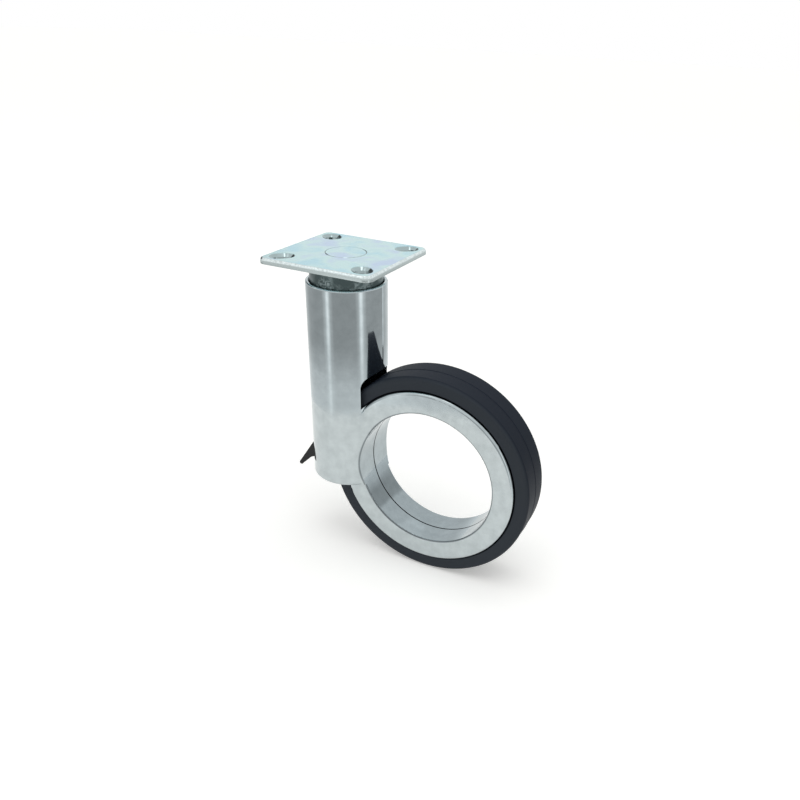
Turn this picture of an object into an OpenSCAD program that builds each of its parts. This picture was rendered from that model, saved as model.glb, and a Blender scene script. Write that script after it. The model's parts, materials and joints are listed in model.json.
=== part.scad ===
// Furniture castor: a wheel that turns on an open ring, under a swivelling column with a brake.
// The origin is the middle of the plate's top face, on the swivel axis.
// +Z is up, +X runs from the swivel axis to the wheel, and the wheel's axis is parallel to Y.

/* [Overall] */
// Height from the floor to the plate's top face
overall_h = 109.5; // [106:0.5:114]
// Distance from the swivel axis to the wheel's axis
trail = 34.2; // [33:0.1:36]

/* [Wheel] */
// Outside diameter of the tyre
wheel_d = 75; // [73:0.5:78]
// Overall width of the tyre
tyre_w = 14.9; // [13.6:0.1:15.6]
// Radius of the tyre's shoulders
tyre_shoulder_r = 1.3; // [0.6:0.1:2]
// Thickness of the rim under the tyre
rim_t = 3.1; // [2.4:0.1:3.6]
// Width of the rib that keeps the tyre on the rim
rim_rib_w = 3; // [2:0.5:5]
// Height of the rib that keeps the tyre on the rim
rim_rib_h = 1.4; // [0.8:0.1:2]

/* [Ring] */
// Diameter of the open bore
bore_d = 49.5; // [47:0.5:50.5]
// Width of the ring over both faces
ring_w = 16.7; // [15.8:0.1:17.6]
// Diameter of the cheeks beside the tyre
cheek_d = 64.7; // [63.5:0.1:66]
// Thickness of a cheek
cheek_t = 1.75; // [1.4:0.05:2.1]
// Wall of the sleeve that the wheel turns on
sleeve_t = 2.2; // [1.8:0.1:2.6]
// Radius of the edges around the bore
ring_edge_r = 0.5; // [0.2:0.1:0.8]
// Radius of the cheeks' outer edges
cheek_edge_r = 1; // [0.4:0.1:1.2]
// Open joint between the two halves of the sleeve
sleeve_gap = 0.5; // [0.3:0.1:0.9]

/* [Column] */
// Diameter of the column
column_d = 27; // [26:0.5:28]
// Height of the column's lower edge above the floor
column_clear = 28.7; // [27:0.1:31]
// Radius of the column's lower outer edge
column_edge_r = 0.9; // [0.4:0.1:1.2]
// Radius of the column's upper outer edge
column_rim_r = 0.5; // [0.3:0.1:0.6]
// Wall around the swivel bearing at the column's top
seat_wall = 1.2; // [1:0.1:1.5]
// Height of the web that holds the stud's bush
web_h = 12; // [10:0.5:14]
// Depth of the room under the web for the washer and the circlip
chamber_h = 8.4; // [7.5:0.1:9]
// Diameter of that room
chamber_d = 19; // [18:0.5:19.5]
// Radius of the blend between the column and the ring's face
blend_r = 4; // [2:0.5:5]
// Depth of the joint line on the column
seam_depth = 0.3; // [0.1:0.05:0.4]
// Room between the tread and the end of the wheel slot
slot_end_gap = 2.2; // [1.6:0.1:2.6]
// Room between a side of the tyre and the wall of the wheel slot
slot_side_gap = 1.7; // [1:0.1:2]
// Radius of the wheel slot's inner corners
slot_corner_r = 1.7; // [0.8:0.1:2]

/* [Plate] */
// Side of the square plate
plate_w = 40; // [38:0.5:44]
// Thickness of the plate
plate_t = 2; // [1.8:0.1:2.6]
// Radius of the plate's corners
plate_corner_r = 2.6; // [1.5:0.1:4]
// Radius of the plate's pressed upper edge
plate_edge_r = 0.9; // [0.3:0.1:1]
// Spacing of the screw slots along a side
screw_pitch = 29; // [28:0.5:31]
// Width of a screw slot
screw_slot_w = 4.4; // [4:0.1:4.8]
// Distance that a screw can move along its slot
screw_slot_run = 1.7; // [1:0.1:2.5]
// Width of a slot's countersink at the plate's top
screw_sink_w = 6.5; // [6:0.1:7.2]

/* [Swivel] */
// Free height between the plate and the column's rim
swivel_gap = 6.9; // [6:0.1:8]
// Diameter of the stud's head in the plate
stud_head_d = 13.4; // [12:0.2:15]
// Height of the stud's head
stud_head_t = 1.2; // [1:0.1:1.4]
// Diameter of the stud's shank
stud_d = 10; // [9:0.5:10.5]
// Wall of the bearing cup
cup_t = 1.5; // [1.2:0.1:1.8]
// Depth of the bearing cup below the column's rim
cup_drop = 3.1; // [2.5:0.1:4]
// Diameter of a bearing ball
ball_d = 3; // [2.8:0.1:3.2]
// Number of bearing balls
ball_count = 12; // [8:1:13]
// Diameter of the circle of balls
ball_circle_d = 16; // [15.6:0.2:16.8]
// Thickness of the lower race
race_t = 2.1; // [1.9:0.1:2.6]
// Wall of the stud's bush
bush_t = 1.45; // [1.2:0.05:1.8]
// Thickness of the stud's washer
washer_t = 1.2; // [1:0.1:1.5]
// Thickness of the circlip
circlip_t = 1; // [0.8:0.1:1.2]

/* [Brake] */
// Diameter of the lever's pin
brake_pin_d = 2; // [1.6:0.1:2.2]
// Distance from the tread to the lever's pin
brake_pin_gap = 4.1; // [3.9:0.1:4.4]
// Height of the lever's pin above the wheel's axis
brake_pin_rise = 5.5; // [4.5:0.1:6]
// Radius of the lever's boss around its pin
lever_boss_r = 2.1; // [1.9:0.1:2.2]
// Width of the lever
lever_w = 14.4; // [12:0.2:14.6]
// Slope of the lever's upper face, below the horizontal
lever_slope = 57; // [54:1:59]
// How far the lever's tip stands out from the column
lever_reach = 4.6; // [3:0.1:6]
// Thickness of the lever's tip
lever_tip_t = 1.5; // [1.2:0.1:1.8]
// Depth of the lever's shoe below its pin
lever_shoe_h = 9.2; // [8.4:0.1:10]
// Turn of the lever from free to locked
brake_turn = 8; // [4:1:9]
// Thickness of the leaf spring
leaf_t = 0.4; // [0.3:0.05:0.6]
// Width of the leaf spring
leaf_w = 6; // [4:0.5:7]

/* [Fits] */
// Radial clearance of a running fit
run_gap = 0.05; // [0.03:0.01:0.08]
// Side clearance of the wheel and of the swivel
side_gap = 0.2; // [0.1:0.05:0.3]
// Clearance around the bearing cup in the column's rim
cup_gap = 0.2; // [0.15:0.05:0.3]
// Clearance around a bearing ball
ball_gap = 0.1; // [0.05:0.01:0.15]
// Clearance between the tyre's lip and a cheek's edge
lip_gap = 0.4; // [0.3:0.05:0.6]
// Clearance between the lever's shoe and the tread when it is locked
shoe_gap = 0.3; // [0.25:0.05:0.4]
// Clearance of the lever in its slot
lever_gap = 0.5; // [0.3:0.05:0.6]

/* [Hidden] */
$fn = 96;
// How far a cut runs past the face that it opens
over = 1;

// Wheel and ring
wheel_r = wheel_d / 2;
wheel_z = wheel_r - overall_h;
bore_r = bore_d / 2;
cheek_r = cheek_d / 2;
sleeve_r = bore_r + sleeve_t;
cheek_in = ring_w / 2 - cheek_t;
glide_wall = 1.1;
glide_flange_t = 0.5;
glide_set_in = 0.4;
glide_r = sleeve_r + glide_wall;
glide_flange_r = cheek_r - glide_set_in;
rim_in_r = glide_r + run_gap;
rim_r = rim_in_r + rim_t;
rim_half_w = cheek_in - glide_flange_t - side_gap;
lip_r = cheek_r + lip_gap;
tyre_edge_r = 0.3;

// Column
column_r = column_d / 2;
column_top = -plate_t - swivel_gap;
column_bottom = column_clear - overall_h;
slot_r = wheel_r + slot_end_gap;
slot_half_w = tyre_w / 2 + slot_side_gap;
seat_r = column_r - seat_wall;
seat_lead = 0.3;

// Swivel bearing, from the cup down
stud_r = stud_d / 2;
cup_r = seat_r - cup_gap;
cup_bottom = column_top - cup_drop;
cup_edge_r = 0.8;
cup_floor_t = 1.8;
ball_r = ball_d / 2;
// Half of the space between the cup and the race
race_half_gap = ball_r / 2;
ball_z = cup_bottom - race_half_gap;
race_top = ball_z - race_half_gap;
shoulder_z = race_top - race_t;
cage_face_gap = 0.25;
cage_t = 2 * (race_half_gap - cage_face_gap);
cage_half_w = 1.8;
bush_r = stud_r + run_gap + bush_t;
bush_flange_t = 1;
bush_flange_w = 2;
bush_flange_r = bush_r + bush_flange_w;
web_bottom = shoulder_z - web_h;
washer_top = web_bottom - bush_flange_t - side_gap;
washer_overhang = 0.5;
washer_r = bush_flange_r + washer_overhang;
clip_top = washer_top - washer_t;
clip_groove_depth = 1;
clip_groove_r = stud_r - clip_groove_depth;
clip_stand_out = 1.3;
clip_r = stud_r + clip_stand_out;
clip_mouth = 4;
stud_tail_l = 2.5;
stud_end = clip_top - circlip_t - stud_tail_l;
stud_chamfer = 0.6;
head_chamfer = 0.25;
chamber_bottom = web_bottom - chamber_h;

// Brake
pivot_x = trail - sqrt(pow(wheel_r + brake_pin_gap, 2) - pow(brake_pin_rise, 2));
pivot_z = wheel_z + brake_pin_rise;
lever_l = (pivot_x - lever_boss_r * sin(lever_slope) + column_r + lever_reach) / cos(lever_slope);
lever_slot_half_w = lever_w / 2 + lever_gap;
shoe_bottom = pivot_z - lever_shoe_h;
lever_neck_back = 5.3;
lever_neck_drop = 0.45;
lever_root_w = 4;
// Depth of the pin's seat in each half of the column
brake_pin_seat = 2.6;
brake_pin_l = 2 * (lever_slot_half_w + brake_pin_seat);

// Spring of the brake, in a pocket of the column over the lever's pin
heel_h = 4.2;
heel_t = 1.6;
pocket_side_gap = 0.2;
pocket_back_gap = 0.3;
pocket_front_gap = 1;
pocket_head_room = 5;
pocket_top = pivot_z + heel_h + pocket_head_room;
heel_half_w = leaf_w / 2 - pocket_side_gap;
leaf_heel_gap = 0.8;
leaf_seat_h = 3.3;
leaf_overlap = 1;
leaf_x = pivot_x - heel_t / 2 - leaf_heel_gap - leaf_t;
leaf_top = pocket_top + leaf_seat_h;
leaf_bottom = pivot_z + heel_h - leaf_overlap;

// Pins that join the two halves: two in the web, and one between the stud's room and the spring
pin_r = 1.5;
pin_half_l = 6;
low_pin_inset = 5.5;
pin_places = [
    [(bush_r + column_r) / 2, shoulder_z - web_h / 2],
    [-(bush_r + column_r) / 2, shoulder_z - web_h / 2],
    [low_pin_inset - column_r, (chamber_bottom + leaf_top) / 2]
];
dowel_r = 0.7;
dowel_half_l = 4;
dowel_circle_r = bore_r + sleeve_t / 2;
dowel_angles = [-70, 0, 70];

// Rectangle from one corner to the other, with its corners rounded
module soft_rect(low, high, r) {
    size = high - low;
    translate(low + [r, 0]) square(size - [2 * r, 0]);
    translate(low + [0, r]) square(size - [0, 2 * r]);
    for (x = [low.x + r, high.x - r], y = [low.y + r, high.y - r])
        translate([x, y]) circle(r);
}

// Lays what stands on the Z axis along the wheel's axis, with its upper end at the front
module about_wheel() {
    translate([trail, 0, wheel_z]) rotate([90, 0, 0]) children();
}

// Turns a profile of radius and width about the wheel's axis: a width above zero is at the front
module turned_about_wheel() {
    about_wheel() rotate_extrude() children();
}

// Extrudes an X-Z outline over a width that is centred on the wheel's middle plane
module across(w) {
    rotate([90, 0, 0]) linear_extrude(w, center = true) children();
}

// A round bar along Y at a place in the X-Z plane
module cross_bar(x, z, r, half_l) {
    translate([x, 0, z]) rotate([90, 0, 0]) cylinder(r = r, h = 2 * half_l, center = true);
}

// Screw slot along X, countersunk from above, with its top at z = 0
module screw_slot() {
    slot_r = screw_slot_w / 2;
    sink_r = screw_sink_w / 2;
    sink_h = sink_r - slot_r;
    for (x = [-1, 1] * screw_slot_run / 2) translate([x, 0, 0]) {
        translate([0, 0, -plate_t - over]) cylinder(r = slot_r, h = plate_t + 2 * over);
        translate([0, 0, -sink_h]) cylinder(r1 = slot_r, r2 = sink_r + over, h = sink_h + over);
    }
    translate([-screw_slot_run / 2, -slot_r, -plate_t - over])
        cube([screw_slot_run, screw_slot_w, plate_t + 2 * over]);
    rotate([90, 0, 90]) linear_extrude(screw_slot_run, center = true) polygon([
        [-slot_r, -sink_h], [slot_r, -sink_h], [sink_r + over, over], [-sink_r - over, over]
    ]);
}

// Section of what is taken off to round an upper edge, with the edge at the origin
module edge_cove() {
    difference() {
        translate([-plate_edge_r, -plate_edge_r]) square(plate_edge_r + over);
        translate([-plate_edge_r, -plate_edge_r]) circle(plate_edge_r);
    }
}

// Square plate with round corners and a rounded upper edge
module plate_blank() {
    half = plate_w / 2;
    bend = half - plate_corner_r;
    difference() {
        translate([0, 0, -plate_t]) linear_extrude(plate_t)
            soft_rect([-half, -half], [half, half], plate_corner_r);
        for (a = [0:90:270]) rotate([0, 0, a]) {
            translate([half, 0, 0]) rotate([90, 0, 0]) linear_extrude(2 * bend, center = true) edge_cove();
            translate([bend, bend, 0]) rotate_extrude(angle = 90) translate([plate_corner_r, 0]) edge_cove();
        }
    }
}

module mounting_plate() {
    color("lightsteelblue") difference() {
        plate_blank();
        translate([0, 0, -stud_head_t]) cylinder(d = stud_head_d, h = stud_head_t + over);
        translate([0, 0, -plate_t - over]) cylinder(r = stud_r, h = plate_t + 2 * over);
        for (a = [45:90:315]) rotate([0, 0, a])
            translate([screw_pitch / sqrt(2), 0, 0]) screw_slot();
    }
}

module swivel_stud() {
    head_r = stud_head_d / 2;
    color("lightsteelblue") rotate_extrude() polygon([
        [0, 0], [head_r - head_chamfer, 0], [head_r, -head_chamfer], [head_r, -stud_head_t],
        [stud_r, -stud_head_t], [stud_r, clip_top], [clip_groove_r, clip_top],
        [clip_groove_r, clip_top - circlip_t], [stud_r, clip_top - circlip_t],
        [stud_r, stud_end + stud_chamfer], [stud_r - stud_chamfer, stud_end], [0, stud_end]
    ]);
}

// Groove that the balls run in, about the swivel axis
module ball_groove() {
    translate([0, 0, ball_z]) rotate_extrude() translate([ball_circle_d / 2, 0]) circle(ball_r + ball_gap);
}

module bearing_cup() {
    color("dimgray") difference() {
        rotate_extrude() difference() {
            union() {
                translate([stud_r + ball_gap, cup_bottom])
                    square([cup_r - cup_edge_r - stud_r - ball_gap, -plate_t - cup_bottom]);
                translate([cup_r - cup_edge_r, cup_bottom + cup_edge_r])
                    square([cup_edge_r, -plate_t - cup_bottom - cup_edge_r]);
                translate([cup_r - cup_edge_r, cup_bottom + cup_edge_r]) circle(cup_edge_r);
            }
            translate([0, cup_bottom + cup_floor_t]) square([cup_r - cup_t, -cup_bottom]);
        }
        ball_groove();
    }
}

module stud_washer() {
    color("silver") translate([0, 0, clip_top]) difference() {
        cylinder(r = washer_r, h = washer_t);
        translate([0, 0, -over]) cylinder(r = stud_r + run_gap, h = washer_t + 2 * over);
    }
}

module stud_circlip() {
    color("darkslategray") translate([0, 0, clip_top - circlip_t]) difference() {
        cylinder(r = clip_r, h = circlip_t);
        translate([0, 0, -over]) cylinder(r = clip_groove_r, h = circlip_t + 2 * over);
        translate([0, -clip_mouth / 2, -over]) cube([clip_r + over, clip_mouth, circlip_t + 2 * over]);
    }
}

// Repeats its child at each ball's place
module at_balls() {
    for (i = [0:ball_count - 1]) rotate([0, 0, i * 360 / ball_count])
        translate([ball_circle_d / 2, 0, ball_z]) children();
}

module ball_cage() {
    color("goldenrod") difference() {
        translate([0, 0, ball_z]) difference() {
            cylinder(r = ball_circle_d / 2 + cage_half_w, h = cage_t, center = true);
            cylinder(r = ball_circle_d / 2 - cage_half_w, h = cage_t + over, center = true);
        }
        at_balls() cylinder(r = ball_r + ball_gap, h = cage_t + over, center = true);
    }
}

module bearing_balls() {
    color("gainsboro") at_balls() sphere(ball_r);
}

module lower_race() {
    color("silver") difference() {
        translate([0, 0, shoulder_z]) difference() {
            cylinder(r = seat_r - run_gap, h = race_t);
            translate([0, 0, -over]) cylinder(r = bush_r, h = race_t + 2 * over);
        }
        ball_groove();
    }
}

module stud_bush() {
    color("ivory") translate([0, 0, web_bottom - bush_flange_t]) difference() {
        union() {
            cylinder(r = bush_r, h = web_h + bush_flange_t);
            cylinder(r = bush_flange_r, h = bush_flange_t);
        }
        translate([0, 0, -over]) cylinder(r = stud_r + run_gap, h = web_h + bush_flange_t + 2 * over);
    }
}

// Solid column with rounded outer edges
module column_body() {
    side_bottom = column_bottom + column_edge_r;
    side_top = column_top - column_rim_r;
    rotate_extrude() {
        translate([0, column_bottom]) square([column_r - column_edge_r, column_edge_r]);
        translate([column_r - column_edge_r, side_bottom]) circle(column_edge_r);
        translate([0, side_bottom]) square([column_r, side_top - side_bottom]);
        translate([column_r - column_rim_r, side_top]) circle(column_rim_r);
        translate([0, side_top]) square([column_r - column_rim_r, column_rim_r]);
    }
}

// Ring between the bore and the cheeks' outer edges
module ring_body() {
    turned_about_wheel() intersection() {
        soft_rect([bore_r, -ring_w / 2], [cheek_r + ring_edge_r, ring_w / 2], ring_edge_r);
        soft_rect([bore_r - cheek_edge_r, -ring_w / 2], [cheek_r, ring_w / 2], cheek_edge_r);
    }
}

// Hollow blend between the column's side and the ring's front face
module face_blend() {
    face = ring_w / 2;
    middle = [sqrt(pow(column_r + blend_r, 2) - pow(face + blend_r, 2)), -face - blend_r];
    start = middle * column_r / (column_r + blend_r);
    intersection() {
        translate([0, 0, column_bottom]) linear_extrude(wheel_z + cheek_r - column_bottom) difference() {
            polygon([
                start, [middle.x, -face], [middle.x, -face + cheek_t / 2], [start.x, -face + cheek_t / 2]
            ]);
            translate(middle) circle(blend_r);
        }
        about_wheel() cylinder(r = cheek_r - cheek_edge_r, h = column_d, center = true);
    }
}

// Space that the wheel turns in: a groove between the cheeks, and a slot through the column
module wheel_space() {
    turned_about_wheel() {
        translate([sleeve_r, -cheek_in]) square([cheek_r + over - sleeve_r, 2 * cheek_in]);
        translate([cheek_r, -slot_half_w]) square([slot_r - slot_corner_r - cheek_r, 2 * slot_half_w]);
        translate([cheek_r + slot_corner_r, -slot_half_w]) intersection() {
            soft_rect([0, 0], [slot_r - cheek_r - slot_corner_r, 2 * slot_half_w], slot_corner_r);
            translate([slot_corner_r, 0]) square([slot_r, 2 * slot_half_w]);
        }
    }
}

// Outline of the slot for the lever, open below, with its upper edge along the lever's upper face
module lever_slot_outline() {
    rise = lever_boss_r + lever_gap;
    inner_x = trail - wheel_r;
    outer_x = -column_r - lever_reach;
    // A point on the line that runs along the lever's upper face
    edge = [pivot_x - rise * sin(lever_slope), pivot_z + rise * cos(lever_slope)];
    top_x = edge.x + (pivot_z + rise - edge.y) / tan(lever_slope);
    outer_z = edge.y + (outer_x - edge.x) * tan(lever_slope);
    polygon([
        [top_x, pivot_z + rise], [inner_x, pivot_z + rise], [inner_x, column_bottom - over],
        [outer_x, column_bottom - over], [outer_x, outer_z]
    ]);
}

// Room for the lever's heel and its leaf spring, with the slit that holds the spring's upper end
module spring_room() {
    half_w = leaf_w / 2 + pocket_side_gap;
    back_x = leaf_x - pocket_back_gap;
    front_x = pivot_x + heel_t / 2 + pocket_front_gap;
    translate([back_x, -half_w, pivot_z]) cube([front_x - back_x, 2 * half_w, pocket_top - pivot_z]);
    translate([leaf_x, -leaf_w / 2, pivot_z]) cube([leaf_t, leaf_w, leaf_top - pivot_z]);
}

// Seat of the swivel bearing, bore of the bush and room for the stud's end
module swivel_rooms() {
    translate([0, 0, shoulder_z]) cylinder(r = seat_r, h = column_top - shoulder_z + over);
    translate([0, 0, column_top - seat_lead])
        cylinder(r1 = seat_r, r2 = seat_r + seat_lead + over, h = seat_lead + over);
    translate([0, 0, web_bottom - over]) cylinder(r = bush_r, h = web_h + 2 * over);
    translate([0, 0, chamber_bottom]) cylinder(d = chamber_d, h = chamber_h);
}

// Front half of the column and the ring, up to the middle plane
module housing_half() {
    big = 4 * overall_h;
    difference() {
        union() {
            column_body();
            ring_body();
            face_blend();
        }
        translate([-big / 2, 0, -big / 2]) cube(big);
        wheel_space();
        cross_bar(trail, wheel_z, bore_r, column_d);
        turned_about_wheel() translate([bore_r - over, -sleeve_gap / 2])
            square([sleeve_t + 2 * over, sleeve_gap]);
        swivel_rooms();
        across(2 * lever_slot_half_w) lever_slot_outline();
        spring_room();
        cross_bar(pivot_x, pivot_z, brake_pin_d / 2, brake_pin_l / 2);
        for (p = pin_places) cross_bar(p.x, p.y, pin_r, pin_half_l);
        for (a = dowel_angles) cross_bar(
            trail + dowel_circle_r * cos(a), wheel_z + dowel_circle_r * sin(a), dowel_r, dowel_half_l);
        for (side = [-1, 1]) translate([side * column_r, 0, 0]) rotate([0, 0, 45])
            cube([seam_depth * sqrt(2), seam_depth * sqrt(2), big], center = true);
    }
}

module front_housing() {
    color("gainsboro") housing_half();
}

module rear_housing() {
    color("gainsboro") mirror([0, 1, 0]) housing_half();
}

module joining_pins() {
    color("darkgray") for (p = pin_places) cross_bar(p.x, p.y, pin_r, pin_half_l);
}

module ring_dowels() {
    color("darkgray") for (a = dowel_angles) cross_bar(
        trail + dowel_circle_r * cos(a), wheel_z + dowel_circle_r * sin(a), dowel_r, dowel_half_l);
}

// Plain bearing on one half of the sleeve, with a flange against the cheek
module glide_ring() {
    turned_about_wheel() {
        translate([sleeve_r, sleeve_gap / 2]) square([glide_wall, cheek_in - sleeve_gap / 2]);
        translate([sleeve_r, cheek_in - glide_flange_t]) square([glide_flange_r - sleeve_r, glide_flange_t]);
    }
}

module front_glide_ring() {
    color("whitesmoke") glide_ring();
}

module rear_glide_ring() {
    color("whitesmoke") mirror([0, 1, 0]) glide_ring();
}

// Section of the rim, with the rib in its middle
module rim_profile() {
    translate([rim_in_r, -rim_half_w]) square([rim_t, 2 * rim_half_w]);
    translate([rim_in_r, -rim_rib_w / 2]) square([rim_t + rim_rib_h, rim_rib_w]);
}

module wheel_rim() {
    color("dimgray") turned_about_wheel() rim_profile();
}

// Section of the tyre: a foot between the cheeks, and a tread that overhangs them
module tyre_profile() {
    half = tyre_w / 2;
    foot_top = lip_r + tyre_shoulder_r;
    difference() {
        union() {
            translate([rim_r, -rim_half_w]) square([foot_top - rim_r, 2 * rim_half_w]);
            soft_rect([lip_r, -half], [lip_r + 2 * tyre_shoulder_r, half], tyre_edge_r);
            soft_rect([lip_r + tyre_edge_r, -half], [wheel_r, half], tyre_shoulder_r);
        }
        rim_profile();
    }
}

module tyre() {
    color("black") turned_about_wheel() tyre_profile();
}

module brake_pin() {
    color("silver") cross_bar(pivot_x, pivot_z, brake_pin_d / 2, brake_pin_l / 2);
}

module brake_spring() {
    color("silver") translate([leaf_x, -leaf_w / 2, leaf_bottom])
        cube([leaf_t, leaf_w, leaf_top - leaf_bottom]);
}

// Side outline of the lever: boss, pedal and shoe, with the shoe's face hollowed for the tread
module lever_outline() {
    along = [-cos(lever_slope), -sin(lever_slope)];
    up = [-sin(lever_slope), cos(lever_slope)];
    pivot = [pivot_x, pivot_z];
    tip = pivot + up * lever_boss_r + along * lever_l;
    tip_low = tip - up * lever_tip_t;
    neck = pivot + along * (lever_l - lever_neck_back) - up * lever_neck_drop;
    root = [pivot_x - lever_root_w, shoe_bottom];
    to_wheel = [trail, wheel_z] - pivot;
    difference() {
        union() {
            translate(pivot) circle(lever_boss_r);
            polygon([
                pivot + up * lever_boss_r, tip, tip_low, neck, root,
                [trail - wheel_r, shoe_bottom], [trail - wheel_r, pivot_z], pivot
            ]);
            translate(tip - up * lever_tip_t / 2) circle(lever_tip_t / 2);
        }
        translate(pivot) rotate(-brake_turn) translate(to_wheel) circle(wheel_r + shoe_gap);
    }
}

module brake_lever() {
    color("black") difference() {
        union() {
            across(lever_w) lever_outline();
            translate([pivot_x - heel_t / 2, -heel_half_w, pivot_z]) cube([heel_t, 2 * heel_half_w, heel_h]);
        }
        cross_bar(pivot_x, pivot_z, brake_pin_d / 2 + run_gap, lever_w);
    }
}

mounting_plate();
swivel_stud();
bearing_cup();
stud_washer();
stud_circlip();
ball_cage();
bearing_balls();
front_housing();
rear_housing();
joining_pins();
ring_dowels();
lower_race();
stud_bush();
front_glide_ring();
rear_glide_ring();
brake_pin();
brake_spring();
wheel_rim();
tyre();
brake_lever();
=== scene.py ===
"""Looks of a furniture castor with a hubless wheel: its visible pieces, finishes and a pale studio."""

import json
import math

import bmesh
import bpy
from bpy.props import FloatProperty, FloatVectorProperty, IntProperty, PointerProperty
from bpy.types import Operator, Panel, PropertyGroup
from mathutils import Matrix, Vector


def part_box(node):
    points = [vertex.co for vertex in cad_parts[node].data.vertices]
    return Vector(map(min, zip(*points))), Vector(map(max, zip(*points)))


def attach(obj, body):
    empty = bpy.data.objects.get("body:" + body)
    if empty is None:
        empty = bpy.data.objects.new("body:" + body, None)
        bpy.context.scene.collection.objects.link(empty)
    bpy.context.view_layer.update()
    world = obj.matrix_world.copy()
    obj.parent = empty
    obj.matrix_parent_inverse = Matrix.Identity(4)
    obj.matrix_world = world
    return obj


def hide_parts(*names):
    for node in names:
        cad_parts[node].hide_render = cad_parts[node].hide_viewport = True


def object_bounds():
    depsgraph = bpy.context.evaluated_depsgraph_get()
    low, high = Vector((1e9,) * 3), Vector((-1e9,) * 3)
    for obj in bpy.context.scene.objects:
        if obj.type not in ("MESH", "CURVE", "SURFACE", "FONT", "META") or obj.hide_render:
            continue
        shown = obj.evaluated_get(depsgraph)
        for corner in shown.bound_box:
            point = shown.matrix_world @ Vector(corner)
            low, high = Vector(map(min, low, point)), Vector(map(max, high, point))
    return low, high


bl_info = {
    "name": "Furniture castor",
    "version": (1, 0, 0),
    "blender": (4, 5, 0),
    "location": "3D View > Sidebar > Castor",
    "description": "Models a furniture castor around its solids, with finishes and a small studio",
    "category": "Object",
}

MM = 0.001
X, Y, Z = Vector((1, 0, 0)), Vector((0, 1, 0)), Vector((0, 0, 1))
WHITE = (1, 1, 1, 1)
BLACK = (0, 0, 0, 1)

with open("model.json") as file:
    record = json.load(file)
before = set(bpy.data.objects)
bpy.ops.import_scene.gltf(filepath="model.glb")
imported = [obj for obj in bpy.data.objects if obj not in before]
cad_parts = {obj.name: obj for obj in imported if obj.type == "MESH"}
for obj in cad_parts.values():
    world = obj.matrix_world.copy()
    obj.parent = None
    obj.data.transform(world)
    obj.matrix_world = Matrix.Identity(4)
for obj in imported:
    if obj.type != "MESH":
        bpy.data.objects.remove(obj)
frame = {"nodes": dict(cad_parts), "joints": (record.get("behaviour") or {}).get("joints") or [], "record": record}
CAD_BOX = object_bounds()
JOINTS = {joint["name"]: joint for joint in frame["joints"]}
PIVOTS = {name: Vector(joint["pos_m"]) for name, joint in JOINTS.items()}
BRAKE_TURN = math.radians(JOINTS["brake_press"]["range_deg"][1])
# How far a cut runs past the face that it opens, and how far a rounded rim rises over its face
OVER = 1 * MM
HAIR = 0.01 * MM
# Points closer than this count as one
SPECK = 0.001 * MM
# Slope of a countersink, in degrees
SINK_SLOPE = 45
# Shares of window light in the surround, by its turn from the camera in degrees
WINDOWS = ((180, 0.4), (107, 0.05), (85, 0.02), (62, 0.06), (54, 0.3), (45, 1), (36, 0.2), (28, 0), (0, 0))
# Shares of the foot's height and of the head's over which the surround changes its light
FOOT_BLEND = (0.7, 1.3)
HEAD_BLEND = (1, 1.1)
# Where the dome starts, in degrees over the plate
DOME_FOOT = 7
# Shares of the dome's radius over which its foot turns to its top, and its back to its left and its front
DOME_TOP = (0.46, 0.54)
DOME_LEFT = (0.3, 0.55)
DOME_FRONT = (-0.15, 0.05)
# Width of the camera's sensor, in millimetres
SENSOR_W = 36


# Properties

def linear(hex_code):
    """Linear red, green, blue and full alpha of an sRGB hex colour."""
    parts = [int(hex_code[i:i + 2], 16) / 255 for i in (1, 3, 5)]
    return (*(p / 12.92 if p <= 0.04045 else ((p + 0.055) / 1.055) ** 2.4 for p in parts), 1.0)


def length(name, description, millimetres):
    """A length property whose default is given in millimetres."""
    return FloatProperty(name=name, description=description, default=millimetres * MM,
                         unit="LENGTH", precision=5)


def angle(name, description, degrees):
    """An angle property whose default is given in degrees."""
    return FloatProperty(name=name, description=description, default=math.radians(degrees), subtype="ANGLE")


def brightness(name, description, level):
    """A brightness property, where 1 is as bright as lit white."""
    return FloatProperty(name=name, description=description, default=level)


def paint(name, description, hex_code):
    """A colour property whose default is an sRGB hex colour."""
    return FloatVectorProperty(name=name, description=description, subtype="COLOR", size=4, min=0, max=1,
                               default=linear(hex_code))


class CastorPlate(PropertyGroup):
    """Sizes of the mounting plate"""
    corner_r: length("Corner radius", "Radius of the plate's corners", 2.6)
    edge_r: length("Edge radius", "Radius of the pressed upper edge", 0.9)
    lower_edge_r: length("Lower edge radius", "Radius of the sheared lower edge", 0.15)
    slot_pitch: length("Slot pitch", "Spacing of the screw slots along a side", 29)
    slot_w: length("Slot width", "Width of a screw slot", 4.4)
    slot_run: length("Slot run", "Distance that a screw can move along its slot", 1.7)
    sink_w: length("Countersink width", "Width of a countersink at the plate's top", 6.5)
    sink_rim_r: length("Countersink rim", "Radius of a countersink's worn rim", 0.5)
    shank_d: length("Shank diameter", "Diameter of the hole for the stud's shank", 10)
    head_t: length("Head height", "Depth of the recess for the stud's head", 1.2)
    head_rim_r: length("Head rim", "Radius of the recess's rim", 0.25)
    wear_w: length("Wear width", "How far the worn edge reaches onto the plate's top", 0.35)
    wear_fade: length("Wear fade", "Width over which the worn edge fades", 0.2)


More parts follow.
